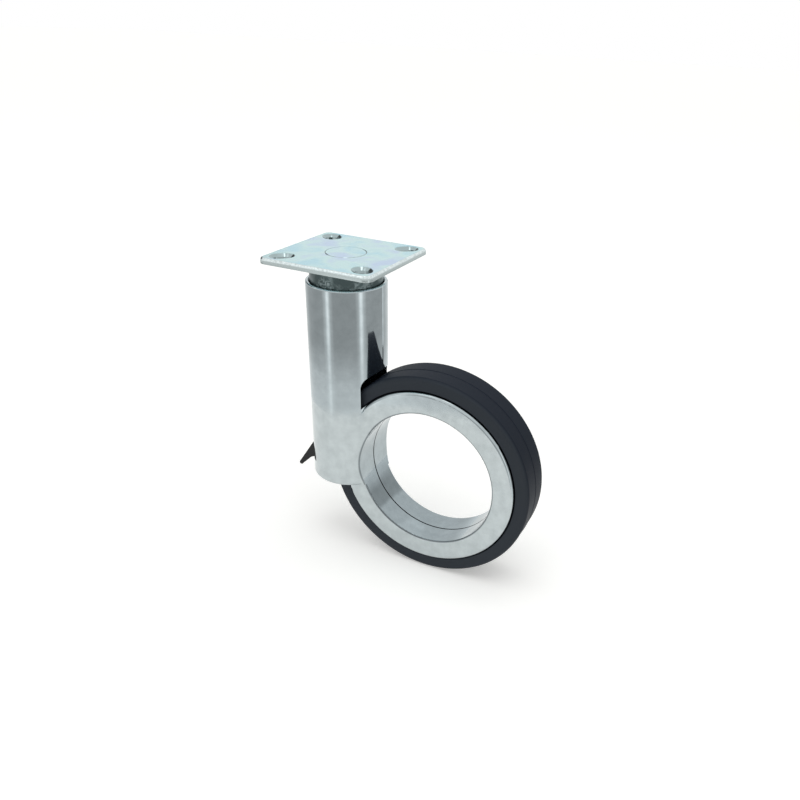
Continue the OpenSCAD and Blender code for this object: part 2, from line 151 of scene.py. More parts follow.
class CastorTyre(PropertyGroup):
    """Sizes of the tyre"""
    shoulder_r: length("Shoulder radius", "Radius of the tread's shoulders", 1.3)
    lip_gap: length("Lip gap", "Gap between the tyre's lip and the ring's cheeks", 0.4)
    lip_edge_r: length("Lip radius", "Radius of the edge beside the ring's cheeks", 0.15)
    rib_w: length("Rib width", "Width of the groove for the rim's rib", 3)
    rib_h: length("Rib height", "Depth of the groove for the rim's rib", 1.4)
    mould_line_w: length("Mould line width", "Width of the line left by the mould's joint", 0.5)
    mould_line_h: length("Mould line height", "Height of the line left by the mould's joint", 0.1)
    # Painted light: the tyre's sides are painted paler to stand in for the light that they catch
    side_light_w: length("Bloom width", "Distance from the tyre's sides at which their bloom ends", 1.05)
    side_light_full: length("Full bloom", "Distance from the tyre's sides up to which it is full", 0.15)
    steps: IntProperty(name="Steps", description="Steps around the tyre", default=256, min=32, max=512)


class CastorLever(PropertyGroup):
    """Sizes of the brake lever"""
    slope: angle("Slope", "Slope of the upper face, below the horizontal", 57)
    boss_r: length("Boss radius", "Radius of the boss around the pin", 2.1)
    pin_d: length("Pin hole", "Diameter of the hole for the pin", 2.1)
    tip_t: length("Tip thickness", "Thickness of the tip", 1.5)
    neck_back: length("Neck", "Distance from the tip back to the neck", 5.3)
    neck_drop: length("Neck drop", "Height of the neck below the pin's line", 0.45)
    shoe_h: length("Shoe depth", "Depth of the shoe below the pin", 9.2)
    root_w: length("Root", "Distance from the pin back to the shoe's outer corner", 4)
    shoe_gap: length("Shoe gap", "Gap between the locked shoe and the tread", 0.3)
    heel_t: length("Heel thickness", "Thickness of the heel that meets the spring", 1.6)
    heel_w: length("Heel width", "Width of the heel that meets the spring", 5.6)
    edge_r: length("Edge radius", "Radius of the moulded edges", 0.25)


class CastorRing(PropertyGroup):
    """Sizes of the ring that carries the wheel"""
    bore_r: length("Bore radius", "Radius of the ring's open bore", 24.75)
    # Painted shade: width of the dark line painted around the bore's lip
    lip_w: length("Lip width", "Width of the line where the chrome fades around the bore", 0.6)


class CastorPaint(PropertyGroup):
    """Colours of the castor's finishes"""
    zinc: paint("Zinc", "Bright zinc plating", "#C1DBDA")
    zinc_blue: paint("Zinc blue", "Blue passivation colour in the zinc", "#ADD1DB")
    zinc_lilac: paint("Zinc lilac", "Lilac passivation colour in the zinc", "#B8C9DF")
    # Painted shade: darker zinc on the steep walls of the slots and of the groove around the stud
    zinc_recess_shade: paint("Zinc recess", "Zinc in the slots and in the groove around the stud", "#A9B7B8")
    zinc_side: paint("Zinc side", "Zinc on the plate's sheared sides", "#BEC7C6")
    # Painted highlight: bright dots on the worn upper edge stand in for glints
    zinc_edge_glint: paint("Zinc edge", "Zinc on the plate's bright upper edge", "#E4ECEC")
    # Painted shade: the cup's dark colour stands in for the shade under the plate
    cup: paint("Cup", "Galvanised steel of the bearing cup", "#515D5D")
    cup_flake: paint("Cup flakes", "Bright crystals on the bearing cup", "#8F9B9B")
    chrome: paint("Chrome", "Chrome plating", "#BDC5C7")
    chrome_haze: paint("Chrome haze", "Hazy clouds in the chrome plating", "#B1B9BB")
    chrome_bore: paint("Chrome bore", "What the bore's duller chrome keeps of its colour", "#E6E9EB")
    # Painted shade: the dark line painted around the bore's lip
    chrome_lip_shade: paint("Chrome lip", "What the chrome around the bore's lip keeps of its colour", "#AEB0B2")
    rubber: paint("Rubber", "Black rubber of the tyre", "#121A26")
    # Painted light: the paler colour painted on the tyre's sides
    rubber_side_light: paint("Rubber bloom", "Dusty bloom on the tyre's sides", "#32383F")
    nylon: paint("Nylon", "Black nylon of the brake lever", "#0E0F11")
    acetal: paint("Acetal", "White acetal of the glides and the bush", "#E4E3DC")
    rim: paint("Rim", "Dark plastic of the wheel's rim", "#2B2C2E")
    steel: paint("Steel", "Ground steel of the balls, races and pins", "#B9B9B6")
    brass: paint("Brass", "Brass of the ball cage", "#C7A35C")


class CastorStage(PropertyGroup):
    """Camera, floor and light"""
    camera_place: FloatVectorProperty(name="Camera place", description="Where the camera stands",
                                      default=(0.12903, -0.20689, 0.06619), subtype="XYZ", unit="LENGTH")
    yaw: angle("Yaw", "Camera's turn to the right of straight back", -22.58)
    pitch: angle("Pitch", "Camera's tilt below the horizontal", 28.24)
    roll: angle("Roll", "Camera's turn about its line of sight", 2.9)
    lens: FloatProperty(name="Lens", description="Camera's focal length", default=33.9, unit="CAMERA")
    shift: FloatVectorProperty(name="Shift", description="Shift of the frame, as shares of its width",
                               default=(-0.075, 0.0375), size=2)
    clip_near: length("Near limit", "Distance from the camera at which things start to show", 5)
    floor_w: length("Floor", "Width of the floor", 12000)
    sheet: paint("Sheet", "White sheet that the castor stands on", "#F4F4F2")
    lift_near: brightness("Near lift", "White that the sheet shows close to the castor", 0.36)
    lift_far: brightness("Far lift", "White that the sheet shows far away", 0.6)
    lift_from: length("Lift start", "Distance at which the sheet starts to turn whiter", 150)
    lift_to: length("Lift end", "Distance at which the sheet is whitest", 500)
    surround_r: length("Surround radius", "Distance of the surround from the swivel axis", 125)
    surround_h: length("Surround height", "Height of the surround", 125)
    foot_h: length("Foot height", "Height of the pale strip at the surround's foot", 28)
    foot_level: brightness("Foot level", "Brightness of the surround's lower edge", 0.96)
    shin_level: brightness("Shin level", "Brightness at the top of its pale strip", 0.77)
    foot_glow: brightness("Foot glow", "What the windows add to the pale strip", 0.35)
    grey_level: brightness("Grey level", "Brightness of the surround's grey parts", 0.5)
    window_level: brightness("Window level", "Brightness of its two bright windows", 1.5)
    window_foot: brightness("Window foot", "Share of the windows' light at their foot", 0.8)
    head_h: length("Head height", "Height at which the surround turns pale again", 68)
    head_level: brightness("Head level", "Brightness of the surround's upper part", 0.9)
    surround_tint: paint("Surround tint", "Light of the surround and the dome", "#F7FAFB")
    dome_r: length("Dome radius", "Radius of the dome of cards over the castor", 300)
    dome_level: brightness("Dome level", "Brightness of the dome's top", 1.0)
    dome_back: brightness("Dome back", "Brightness of its foot behind the castor", 1.04)
    dome_side: brightness("Dome side", "Brightness of its foot at the left", 0.1)
    spot_level: brightness("Spot level", "Brightness of the lamp in the dome's top", 2.6)
    spot_near: length("Spot offset", "Distance of that lamp from the swivel axis to the camera's side", 78)
    spot_r: length("Spot radius", "Radius of that lamp", 50)
    side_level: brightness("Side level", "Brightness of the lamp at the front left", 1.6)
    side_near: length("Side offset", "Distance of that lamp from the swivel axis to the camera's side", 100)
    side_left: length("Side reach", "Distance of that lamp to the left of the camera's line", 150)
    side_r: length("Side radius", "Radius of that lamp", 85)
    sky_low: brightness("Low sky", "Light of the sky at the horizon", 0.32)
    sky_high: brightness("High sky", "Light of the sky overhead", 0.54)
    softbox_h: length("Softbox height", "Height of the softbox over the plate", 600)
    softbox_near: length("Softbox offset", "Distance of the softbox to the camera's side", 120)
    softbox_w: length("Softbox width", "Width of the softbox", 600)
    softbox_level: brightness("Softbox level", "Brightness of the softbox", 1.85)


# Modelling

def fresh():
    """Leaves edit mode and selects nothing, so that an operator acts only on what comes next."""
    if bpy.context.object and bpy.context.object.mode != "OBJECT":
        bpy.ops.object.mode_set(mode="OBJECT")
    bpy.ops.object.select_all(action="DESELECT")


def finish_primitive(name):
    """Names the primitive that was just added, puts its place into its mesh and opens it for editing."""
    piece = bpy.context.object
    piece.name = piece.data.name = name
    bpy.ops.object.transform_apply(location=True, rotation=True, scale=True)
    bpy.ops.object.mode_set(mode="EDIT")
    bpy.ops.mesh.select_mode(type="VERT")
    return piece


def pick(piece, kind, test):
    """Selects the verts or edges of a piece in edit mode that pass a test, and nothing else."""
    bpy.ops.mesh.select_mode(type={"verts": "VERT", "edges": "EDGE"}[kind])
    bpy.ops.mesh.select_all(action="DESELECT")
    mesh = bmesh.from_edit_mesh(piece.data)
    for part in getattr(mesh, kind):
        if test(part):
            part.select_set(True)
    bmesh.update_edit_mesh(piece.data)


def arc(centre, radius, start, end, count):
    """Points of a profile along an arc, with its angles in degrees from the radius towards the height."""
    turns = [math.radians(start + (end - start) * i / count) for i in range(count + 1)]
    return [(centre[0] + radius * math.cos(t), centre[1] + radius * math.sin(t)) for t in turns]


def chain(name, spots):
    """A line of joined points in edit mode, extruded from one point to the next."""
    fresh()
    bpy.ops.mesh.primitive_plane_add(size=MM, location=spots[0])
    piece = finish_primitive(name)
    bpy.ops.mesh.select_all(action="SELECT")
    bpy.ops.mesh.merge(type="CENTER")
    for here, there in zip(spots, spots[1:]):
        bpy.ops.mesh.extrude_region_move(TRANSFORM_OT_translate={"value": there - here})
    bpy.ops.mesh.select_all(action="SELECT")
    return piece


def close_mesh():
    """Merges the seams and poles of the mesh in edit mode and turns its faces outwards."""
    bpy.ops.mesh.select_all(action="SELECT")
    bpy.ops.mesh.remove_doubles(threshold=SPECK)
    bpy.ops.mesh.normals_make_consistent(inside=False)


def turned(name, profile, centre, axis, steps):
    """Spins a closed profile of (radius, height) pairs about an axis, from the X direction."""
    piece = chain(name, [centre + X * r + axis * h for r, h in (*profile, profile[0])])
    bpy.ops.mesh.spin(steps=steps, angle=math.tau, center=centre, axis=axis)
    close_mesh()
    return piece


def cut(piece, cutter, operation="DIFFERENCE"):
    """Takes one closed mesh out of another, or joins it on."""
    fresh()
    bpy.context.view_layer.objects.active = piece
    piece.select_set(True)
    tool = piece.modifiers.new("cut", "BOOLEAN")
    tool.operation = operation
    tool.solver = "EXACT"
    tool.object = cutter
    bpy.ops.object.modifier_apply(modifier=tool.name)
    bpy.data.objects.remove(cutter, do_unlink=True)


def round_edges(piece, test, radius, segments):
    """Rounds the edges of a piece in edit mode that pass a test."""
    pick(piece, "edges", test)
    bpy.ops.mesh.bevel(offset=radius, segments=segments, affect="EDGES", clamp_overlap=False)


def level_at(height):
    """A test for edges that lie at one height."""
    return lambda edge: all(abs(vert.co.z - height) < SPECK for vert in edge.verts)


def stretch(piece, centre, direction, run):
    """Pulls the two ends of a piece in edit mode apart along a direction, away from its centre."""
    for side in (-1, 1):
        pick(piece, "verts", lambda vert: side * (vert.co - centre).dot(direction) > SPECK)
        bpy.ops.transform.translate(value=direction * side * run / 2)


def dress(piece, material):
    """Gives a piece its material."""
    if piece.material_slots:
        piece.material_slots[0].material = material
    else:
        piece.data.materials.append(material)


def smooth(piece, degrees):
    """Smooth shading up to an angle, in which the large faces stay flat."""
    fresh()
    bpy.context.view_layer.objects.active = piece
    piece.select_set(True)
    bpy.ops.object.shade_smooth_by_angle(angle=math.radians(degrees))
    weighted = piece.modifiers.new("flat_faces", "WEIGHTED_NORMAL")
    weighted.keep_sharp = True
    bpy.ops.object.modifier_apply(modifier=weighted.name)
    fresh()


def fit(piece, body, node):
    """Lets a piece ride on a body and stand for a solid, whose CAD part it hides."""
    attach(piece, body)
    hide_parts(node)


# Materials

def add(tree, kind, inputs=None, stops=(), **settings):
    """Adds a node with its settings and a ramp's stops. Its inputs are values, sockets or nodes to link."""
    node = tree.nodes.new(kind)
    for name, value in settings.items():
        setattr(node, name, value)
    for index, (position, colour) in enumerate(stops):
        elements = node.color_ramp.elements
        stop = elements[index] if index < len(elements) else elements.new(position)
        stop.position = position
        stop.color = colour
    for name, value in (inputs or {}).items():
        if isinstance(value, bpy.types.Node):
            value = next(socket for socket in value.outputs if socket.enabled)
        if isinstance(value, bpy.types.NodeSocket):
            tree.links.new(value, node.inputs[name])
        else:
            node.inputs[name].default_value = value
    return node


def started(name):
    """The material of that name with its empty node tree, or with no tree where it was made before."""
    material = bpy.data.materials.get(name)
    if material:
        return material, None
    material = bpy.data.materials.new(name)
    material.use_nodes = True
    material.node_tree.nodes.clear()
    return material, material.node_tree


def coat(tree, inputs):
    """Ends a material's tree with one Principled shader."""
    shader = add(tree, "ShaderNodeBsdfPrincipled", inputs)
    add(tree, "ShaderNodeOutputMaterial", {"Surface": shader})


def spots_per_metre(millimetres):
    """Scale of a pattern in Object coordinates whose features have a real size in millimetres."""
    return 1 / (millimetres * MM)


def plain(name, colour, metallic, roughness, spread=0.08):
    """A finish with a fine grain in its gloss, for the pieces inside the bearing and the column."""
    material, tree = started(name)
    if tree:
        place = add(tree, "ShaderNodeTexCoord").outputs["Object"]
        grain = add(tree, "ShaderNodeTexNoise", {"Vector": place, "Scale": spots_per_metre(0.6),
                                                 "Detail": 3})
        gloss = add(tree, "ShaderNodeMapRange", {"Value": grain, "To Min": roughness - spread,
                                                 "To Max": roughness + spread})
        coat(tree, {"Base Color": colour, "Metallic": metallic, "Roughness": gloss})
    return material


def chromed_zinc(paints, ring):
    """Chrome plating on a polished zinc casting: a mirror with hazy clouds and a soft cast waviness,
    a little duller in the ring's bore, with a painted dark line of shade just outside the bore's lip."""
    material, tree = started("chromed_zinc_casting")
    if tree:
        place = add(tree, "ShaderNodeTexCoord").outputs["Object"]
        haze = add(tree, "ShaderNodeTexNoise", {"Vector": place, "Scale": spots_per_metre(4), "Detail": 5,
                                                "Roughness": 0.62})
        cloud = add(tree, "ShaderNodeMapRange", {"Value": haze, "From Min": 0.35, "From Max": 0.65})
        colour = add(tree, "ShaderNodeMix", {"Factor": cloud, "A": paints.chrome, "B": paints.chrome_haze},
                     data_type="RGBA")
        from_axis = add(tree, "ShaderNodeVectorMath", {0: place, 1: PIVOTS["wheel_spin"]},
                        operation="SUBTRACT")
        outwards = add(tree, "ShaderNodeVectorMath", {0: from_axis, 1: X + Z}, operation="MULTIPLY")
        radius = add(tree, "ShaderNodeVectorMath", {0: outwards}, operation="LENGTH")
        # Painted shade: the chrome darkens to a dark line just outside the bore's lip
        lip = add(tree, "ShaderNodeMapRange", {"Value": radius, "From Min": ring.bore_r,
                                               "From Max": ring.bore_r + ring.lip_w})
        fade = add(tree, "ShaderNodeValToRGB", {"Fac": lip}, stops=(
            (0, paints.chrome_bore), (0.1, paints.chrome_lip_shade), (0.6, paints.chrome_lip_shade), (1, WHITE)))
        faded = add(tree, "ShaderNodeMix", {"Factor": 1.0, "A": colour, "B": fade},
                    data_type="RGBA", blend_type="MULTIPLY")
        gloss = add(tree, "ShaderNodeMapRange", {"Value": haze, "From Min": 0.3, "From Max": 0.7,
                                                 "To Min": 0.05, "To Max": 0.12})
        wave = add(tree, "ShaderNodeTexNoise", {"Vector": place, "Scale": spots_per_metre(9), "Detail": 1})
        bump = add(tree, "ShaderNodeBump", {"Height": wave, "Strength": 0.25, "Distance": 0.2 * MM})
        coat(tree, {"Metallic": 1.0, "Base Color": faded, "Roughness": gloss, "Normal": bump})
    return material


def zinc_plate(paints, sizes):
    """Bright zinc plating on pressed steel: satin, pale blue, with faint lilac and blue passivation clouds,
    shinier slopes in its slots with painted shade on their steep walls, and a worn, dented upper edge with painted
    glints."""
    material, tree = started("zinc_plated_steel")
    # How much smoother the slopes of the slots and the worn edge are
    slot_polish = -0.15
    edge_polish = -0.1
    if tree:
        coordinates = add(tree, "ShaderNodeTexCoord")
        place = coordinates.outputs["Object"]
        cloud = add(tree, "ShaderNodeTexNoise", {"Vector": place, "Scale": spots_per_metre(12), "Detail": 2})
        tint = add(tree, "ShaderNodeValToRGB", {"Fac": cloud}, stops=(
            (0.36, paints.zinc_blue), (0.5, paints.zinc), (0.66, paints.zinc_lilac)))

        # Slopes in the slots, away from the plate's sides, with painted shade on their steep walls
        facing = add(tree, "ShaderNodeSeparateXYZ", {"Vector": coordinates.outputs["Normal"]})
        level = add(tree, "ShaderNodeMath", {0: facing.outputs["Z"]}, operation="ABSOLUTE")
        slope = add(tree, "ShaderNodeMapRange", {"Value": level, "From Min": 0.99, "From Max": 0.95})
        steep = add(tree, "ShaderNodeMapRange", {"Value": level, "From Min": 0.85, "From Max": 0.73})
        spread = add(tree, "ShaderNodeVectorMath", {0: place}, operation="ABSOLUTE")
        reach = add(tree, "ShaderNodeSeparateXYZ", {"Vector": spread})
        outer = add(tree, "ShaderNodeMath", {0: reach.outputs["X"], 1: reach.outputs["Y"]},
                    operation="MAXIMUM")
        wear_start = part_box("mounting_plate")[1].x - sizes.edge_r - sizes.wear_w
        edge = add(tree, "ShaderNodeMapRange", {"Value": outer, "From Min": wear_start,
                                                "From Max": wear_start + sizes.wear_fade})
        # Painted shade: the steep walls of the slots and the stud's groove are painted darker
        recess = add(tree, "ShaderNodeMath", {0: steep, 1: edge}, operation="SUBTRACT", use_clamp=True)
        inner = add(tree, "ShaderNodeMix", {"Factor": recess, "A": tint, "B": paints.zinc_recess_shade},
                    data_type="RGBA")

        # Sides, and the worn edge over them, whose top also carries painted glints
        worn = add(tree, "ShaderNodeMath", {0: slope, 1: edge}, operation="MULTIPLY")
        sides = add(tree, "ShaderNodeMix", {"Factor": worn, "A": inner, "B": paints.zinc_side},
                    data_type="RGBA")
        depth = add(tree, "ShaderNodeSeparateXYZ", {"Vector": place})
        upper = add(tree, "ShaderNodeMapRange", {"Value": depth.outputs["Z"], "From Min": -sizes.edge_r,
                                                 "From Max": sizes.wear_fade - sizes.edge_r})
        worn_glinting_top = add(tree, "ShaderNodeMath", {0: upper, 1: worn}, operation="MULTIPLY")
        # Painted highlight: pale dots in the colour along the worn top edge stand in for glints; its gloss and
        # dents are wear
        grains = add(tree, "ShaderNodeTexNoise", {"Vector": place, "Scale": spots_per_metre(0.9)})
        glint_facets = add(tree, "ShaderNodeMapRange", {"Value": grains, "From Min": 0.33, "From Max": 0.6,
                                                  "To Min": 0.35})
        bright = add(tree, "ShaderNodeMath", {0: glint_facets, 1: worn_glinting_top}, operation="MULTIPLY")
        colour = add(tree, "ShaderNodeMix", {"Factor": bright, "A": sides, "B": paints.zinc_edge_glint},
                     data_type="RGBA")

        # Satin gloss and dents
        grain = add(tree, "ShaderNodeTexNoise", {"Vector": place, "Scale": spots_per_metre(0.7),
                                                 "Detail": 4})
        gloss = add(tree, "ShaderNodeMapRange", {"Value": grain, "To Min": 0.22, "To Max": 0.3})
        shine = add(tree, "ShaderNodeMath", {0: recess, 1: slot_polish, 2: gloss}, operation="MULTIPLY_ADD")
        rubbed = add(tree, "ShaderNodeMath", {0: worn_glinting_top, 1: edge_polish, 2: shine},
                     operation="MULTIPLY_ADD")
        dents = add(tree, "ShaderNodeMapRange", {"Value": grains, "To Min": -0.5, "To Max": 0.5})
        peened = add(tree, "ShaderNodeMath", {0: dents, 1: worn_glinting_top}, operation="MULTIPLY")
        bump = add(tree, "ShaderNodeBump", {"Height": peened, "Strength": 0.4, "Distance": 0.2 * MM})
        coat(tree, {"Metallic": 1.0, "Base Color": colour, "Roughness": rubbed, "Normal": bump})
    return material


def galvanised_steel(paints):
    """Galvanised steel: dull grey-green, painted dark as painted shade under the plate, with patches of bright
    zinc crystals.
    """
    material, tree = started("galvanised_steel")
    if tree:
        place = add(tree, "ShaderNodeTexCoord").outputs["Object"]
        swirl = add(tree, "ShaderNodeTexNoise", {"Vector": place, "Scale": spots_per_metre(1.6), "Detail": 2,
                                                 "Distortion": 1.5})
        flakes = add(tree, "ShaderNodeMapRange", {"Value": swirl, "From Min": 0.42, "From Max": 0.6})
        patch = add(tree, "ShaderNodeTexNoise", {"Vector": place, "Scale": spots_per_metre(9), "Detail": 2})
        spread = add(tree, "ShaderNodeMapRange", {"Value": patch, "From Min": 0.42, "From Max": 0.55})
        bright = add(tree, "ShaderNodeMath", {0: flakes, 1: spread}, operation="MULTIPLY")
        colour = add(tree, "ShaderNodeMix", {"Factor": bright, "A": paints.cup, "B": paints.cup_flake},
                     data_type="RGBA")
        gloss = add(tree, "ShaderNodeMapRange", {"Value": swirl, "To Min": 0.2, "To Max": 0.45})
        bump = add(tree, "ShaderNodeBump", {"Height": bright, "Strength": 0.3, "Distance": 0.1 * MM})
        coat(tree, {"Metallic": 1.0, "Base Color": colour, "Roughness": gloss, "Normal": bump})
    return material


def moulded_black(name, colour, roughness, specular, grain_mm, side_light=None, spread=0.1):
    """Black rubber or plastic from a mould: satin, with the mould's fine grain. Painted light can make the
    sides paler: its colour, and the distances from the middle at which it starts and is full."""
    material, tree = started(name)
    if tree:
        place = add(tree, "ShaderNodeTexCoord").outputs["Object"]
        tone = colour
        # Painted light: the sides are painted paler than the tread
        if side_light:
            side_paint, start, full = side_light
            across = add(tree, "ShaderNodeSeparateXYZ", {"Vector": place})
            side = add(tree, "ShaderNodeMath", {0: across.outputs["Y"]}, operation="ABSOLUTE")
            side_share = add(tree, "ShaderNodeMapRange", {"Value": side, "From Min": start, "From Max": full})
            tone = add(tree, "ShaderNodeMix", {"Factor": side_share, "A": colour, "B": side_paint}, data_type="RGBA")
        grain = add(tree, "ShaderNodeTexNoise", {"Vector": place, "Scale": spots_per_metre(grain_mm),
                                                 "Detail": 3})
        gloss = add(tree, "ShaderNodeMapRange", {"Value": grain, "To Min": roughness - spread,
                                                 "To Max": roughness + spread})
        bump = add(tree, "ShaderNodeBump", {"Height": grain, "Strength": 0.2, "Distance": 0.05 * MM})
        coat(tree, {"Base Color": tone, "Specular IOR Level": specular, "Roughness": gloss, "Normal": bump})
    return material


def tyre_rubber(paints, sizes):
    """Black rubber: a dull blue-black tread, with sides painted paler as painted light."""
    half_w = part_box("tyre")[1].y
    return moulded_black("tyre_rubber", paints.rubber, roughness=0.55, specular=0.15, grain_mm=0.4,
                         side_light=(paints.rubber_side_light, half_w - sizes.side_light_w, half_w - sizes.side_light_full))


def lever_nylon(paints):
    """Black nylon: a satin sheen on a deep black."""
    return moulded_black("black_nylon", paints.nylon, roughness=0.42, specular=0.3, grain_mm=0.3)


# Pieces

class CASTOR_OT_plate(Operator):
    """Models the pressed mounting plate with its screw slots"""
    bl_idname = "castor.plate"
    bl_label = "Mounting plate"

    def execute(self, context):
        sizes = context.scene.castor_plate
        low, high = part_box("mounting_plate")
        fresh()
        bpy.ops.mesh.primitive_cube_add(size=1, location=(low + high) / 2, scale=high - low)
        plate = finish_primitive("pressed_plate")
        round_edges(plate, lambda edge: edge.verts[0].co.xy == edge.verts[1].co.xy, sizes.corner_r,
                    segments=10)
        round_edges(plate, level_at(high.z), sizes.edge_r, segments=5)
        round_edges(plate, level_at(low.z), sizes.lower_edge_r, segments=2)
        cut(plate, self.stud_cutter(sizes, low.z))
        slot = self.slot_cutter(sizes, low.z)
        for turn in (45, 135, 225, 315):
            cut(plate, self.turned_copy(slot, turn))
        bpy.data.objects.remove(slot, do_unlink=True)
        smooth(plate, degrees=40)
        dress(plate, zinc_plate(context.scene.castor_paint, sizes))
        fit(plate, "plate", "mounting_plate")
        return {"FINISHED"}

    def stud_cutter(self, sizes, bottom):
        """Recess of the stud's head, with a rounded rim, and the hole for its shank."""
        head_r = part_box("swivel_stud")[1].x
        rim_r = sizes.head_rim_r
        shank_r = sizes.shank_d / 2
        return turned("stud_cutter", [
            (0, OVER), (head_r + rim_r, OVER),
            *arc((head_r + rim_r, HAIR - rim_r), rim_r, 90, 180, count=4),
            (head_r, -sizes.head_t), (shank_r, -sizes.head_t), (shank_r, bottom - OVER), (0, bottom - OVER),
        ], Vector(), Z, steps=96)

    def slot_cutter(self, sizes, bottom):
        """Slot on the X axis with a conical countersink, whose rim is rounded."""
        slope = math.radians(SINK_SLOPE)
        slot_r = sizes.slot_w / 2
        sink_r = sizes.sink_w / 2
        rim_r = sizes.sink_rim_r
        rim_middle = sink_r + rim_r * math.tan(slope / 2)
        centre = X * sizes.slot_pitch / math.sqrt(2)
        # Fifty steps leave no corner in the middle, where the slot is pulled apart
        slot = turned("slot_cutter", [
            (0, bottom - OVER), (slot_r, bottom - OVER), (slot_r, (slot_r - sink_r) * math.tan(slope)),
            *arc((rim_middle, HAIR - rim_r), rim_r, 90 + SINK_SLOPE, 90, count=4),
            (rim_middle, OVER), (0, OVER),
        ], centre, Z, steps=50)
        stretch(slot, centre, X, sizes.slot_run)
        return slot

    def turned_copy(self, piece, degrees):
        """A copy with its own mesh, turned about the swivel axis."""
        fresh()
        copy = piece.copy()
        copy.data = piece.data.copy()
        bpy.context.collection.objects.link(copy)
        copy.rotation_euler.z = math.radians(degrees)
        bpy.context.view_layer.objects.active = copy
        copy.select_set(True)
        bpy.ops.object.transform_apply(location=False, rotation=True, scale=False)
        return copy


class CASTOR_OT_tyre(Operator):
    """Models the moulded tyre with its mould line"""
    bl_idname = "castor.tyre"
    bl_label = "Tyre"

    def execute(self, context):
        sizes = context.scene.castor_tyre
        tyre = turned("moulded_tyre", self.profile(sizes), PIVOTS["wheel_spin"], Y, sizes.steps)
        smooth(tyre, degrees=35)
        dress(tyre, tyre_rubber(context.scene.castor_paint, sizes))
        fit(tyre, "wheel", "tyre")
        return {"FINISHED"}

    def profile(self, sizes):
        """Section from the foot on the rim, around the shoulders and over the mould line."""
        tyre_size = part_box("tyre")[1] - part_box("tyre")[0]
        rim_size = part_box("wheel_rim")[1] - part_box("wheel_rim")[0]
        cheek_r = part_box("front_housing")[1].x - PIVOTS["wheel_spin"].x
        wheel_r, half_w = tyre_size.x / 2, tyre_size.y / 2
        rib_r, foot_half_w = rim_size.x / 2, rim_size.y / 2
        foot_r = rib_r - sizes.rib_h
        lip_r = cheek_r + sizes.lip_gap
        edge, shoulder = sizes.lip_edge_r, sizes.shoulder_r
        tread_r = wheel_r - sizes.mould_line_h
        half_line = sizes.mould_line_w / 2
        front = [
            (foot_r, sizes.rib_w / 2), (foot_r, foot_half_w), (lip_r, foot_half_w),
            *arc((lip_r + edge, half_w - edge), edge, 180, 90, count=3),
            *arc((tread_r - shoulder, half_w - shoulder), shoulder, 90, 0, count=8),
            (tread_r, half_line), (wheel_r, half_line / 2),
        ]
        back = [(r, -h) for r, h in reversed(front)]
        return [(rib_r, sizes.rib_w / 2), *front, *back, (rib_r, -sizes.rib_w / 2)]


class CASTOR_OT_lever(Operator):
    """Models the moulded brake lever"""
    bl_idname = "castor.lever"
    bl_label = "Brake lever"

    def execute(self, context):
        sizes = context.scene.castor_lever
        low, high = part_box("brake_lever")
        # Edges that bend more than this are rounded
        sharp = math.radians(40)
        outline = self.outline(sizes, low, high)
        lever = chain("moulded_lever", [X * x + Y * low.y + Z * z for x, z in outline])
        close_mesh()
        pick(lever, "edges", lambda edge: True)
        bpy.ops.mesh.edge_face_add()
        bpy.ops.mesh.extrude_region_move(TRANSFORM_OT_translate={"value": Y * (high.y - low.y)})
        close_mesh()
        round_edges(lever, lambda edge: edge.calc_face_angle(0) > sharp, sizes.edge_r, segments=3)
        self.add_heel(lever, sizes, high)
        cut(lever, self.pin_cutter(sizes, high.y + OVER))
        smooth(lever, degrees=35)
        dress(lever, lever_nylon(context.scene.castor_paint))
        fit(lever, "brake", "brake_lever")
        return {"FINISHED"}

    def outline(self, sizes, low, high):
        """Closed X-Z outline from the boss along the pedal to its tip, and back under it to the shoe."""
        pivot = PIVOTS["brake_press"].xz
        wheel = PIVOTS["wheel_spin"].xz
        upright = 90 + math.degrees(sizes.slope)
        along = Vector((-math.cos(sizes.slope), -math.sin(sizes.slope)))
        up = Vector((along.y, -along.x))
        tip_r = sizes.tip_t / 2
        tip_up = up * (sizes.boss_r - tip_r)
        pedal_l = (low.x + tip_r - pivot.x - tip_up.x) / along.x
        shoe_bottom = pivot.y - sizes.shoe_h
        # The shoe's face fits the tread when the lever is turned to its limit
        hollow = pivot + Matrix.Rotation(-BRAKE_TURN, 2) @ (wheel - pivot)
        hollow_r = (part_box("tyre")[1].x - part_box("tyre")[0].x) / 2 + sizes.shoe_gap
        face_low = 180 - math.degrees(math.asin((shoe_bottom - hollow.y) / hollow_r))
        face_high = math.degrees(math.acos((high.x - hollow.x) / hollow_r))
        spots = [
            *arc(pivot, sizes.boss_r, 0, upright, count=12),
            *arc(pivot + tip_up + along * pedal_l, tip_r, upright, upright + 180, count=8),
            pivot + along * (pedal_l - sizes.neck_back) - up * sizes.neck_drop,
            (pivot.x - sizes.root_w, shoe_bottom),
            *arc(hollow, hollow_r, face_low, face_high, count=10),
            (high.x, pivot.y),
        ]
        return [*spots, spots[0]]

    def add_heel(self, lever, sizes, high):
        """Joins on the heel that stands over the pin."""
        pivot = PIVOTS["brake_press"]
        fresh()
        bpy.ops.mesh.primitive_cube_add(size=1, location=(pivot + Vector((pivot.x, 0, high.z))) / 2,
                                        scale=(sizes.heel_t, sizes.heel_w, high.z - pivot.z))
        heel = finish_primitive("heel")
        round_edges(heel, level_at(high.z), sizes.edge_r, segments=3)
        cut(lever, heel, "UNION")

    def pin_cutter(self, sizes, half_l):
        """Hole for the pin, right across the lever."""
        hole_r = sizes.pin_d / 2
        return turned("pin_cutter", [(0, -half_l), (hole_r, -half_l), (hole_r, half_l), (0, half_l)],
                      PIVOTS["brake_press"], Y, steps=48)


